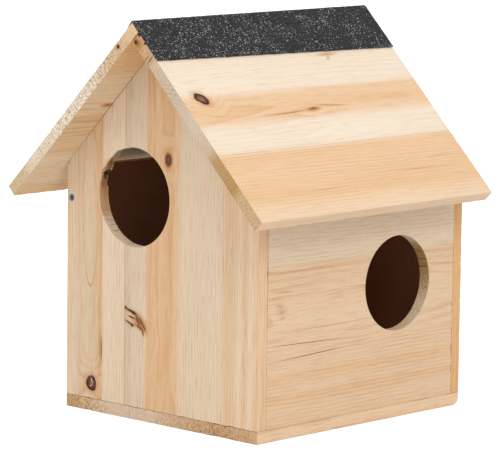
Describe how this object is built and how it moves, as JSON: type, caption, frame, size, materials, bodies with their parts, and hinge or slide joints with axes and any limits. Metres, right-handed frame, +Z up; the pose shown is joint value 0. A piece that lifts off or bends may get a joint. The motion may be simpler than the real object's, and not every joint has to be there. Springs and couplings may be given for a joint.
{
  "type": "squirrel house",
  "caption": "Gabled wooden squirrel house: round entrances in front and side, clean-out side door hung on screws, right-angled board roof with a felt-covered ridge.",
  "frame": {"origin": "middle of the whole house's footprint, on the underside of the floor board", "axes": "+Z up along the walls, -Y out of the gabled front, +X out of the fixed right side; the door is on -X"},
  "size_m": [0.2522, 0.245, 0.2888],
  "materials": {
    "floor_fir": "untreated sawn and lightly sanded fir, end grain to the front",
    "gable_fir": "untreated planed fir, edge-glued upright staves with knots",
    "side_fir": "untreated planed fir, level grain",
    "roof_fir": "untreated planed fir, grain along the ridge",
    "mineral_felt": "black bitumen felt surfaced with dark mineral granules and pale specks",
    "zinc_screw": "bright zinc plating",
    "steel_nail": "plain bright steel"
  },
  "bodies": {
    "house": {"floor_board": "floor_fir", "front_gable": "gable_fir", "back_gable": "gable_fir", "right_side_panel": "side_fir", "roof_board_left": "roof_fir", "roof_board_right": "roof_fir", "ridge_felt": "mineral_felt", "pivot_screw_front": "zinc_screw", "pivot_screw_back": "zinc_screw", "floor_screw_front_left": "zinc_screw", "floor_screw_front_right": "zinc_screw", "floor_screw_back_left": "zinc_screw", "floor_screw_back_right": "zinc_screw", "floor_screw_side_front": "zinc_screw", "floor_screw_side_back": "zinc_screw", "roof_nail_left_front": "steel_nail", "roof_nail_left_back": "steel_nail", "roof_nail_right_front": "steel_nail", "roof_nail_right_back": "steel_nail"},
    "side_door": {"left_side_door": "side_fir"}
  },
  "joints": [
    {"name": "side_door_swing", "type": "hinge", "parent": "house", "child": "side_door", "pos_m": [-0.0915, 0, 0.1535], "axis": [0, 1, 0], "range_deg": [-7, 81]}
  ]
}
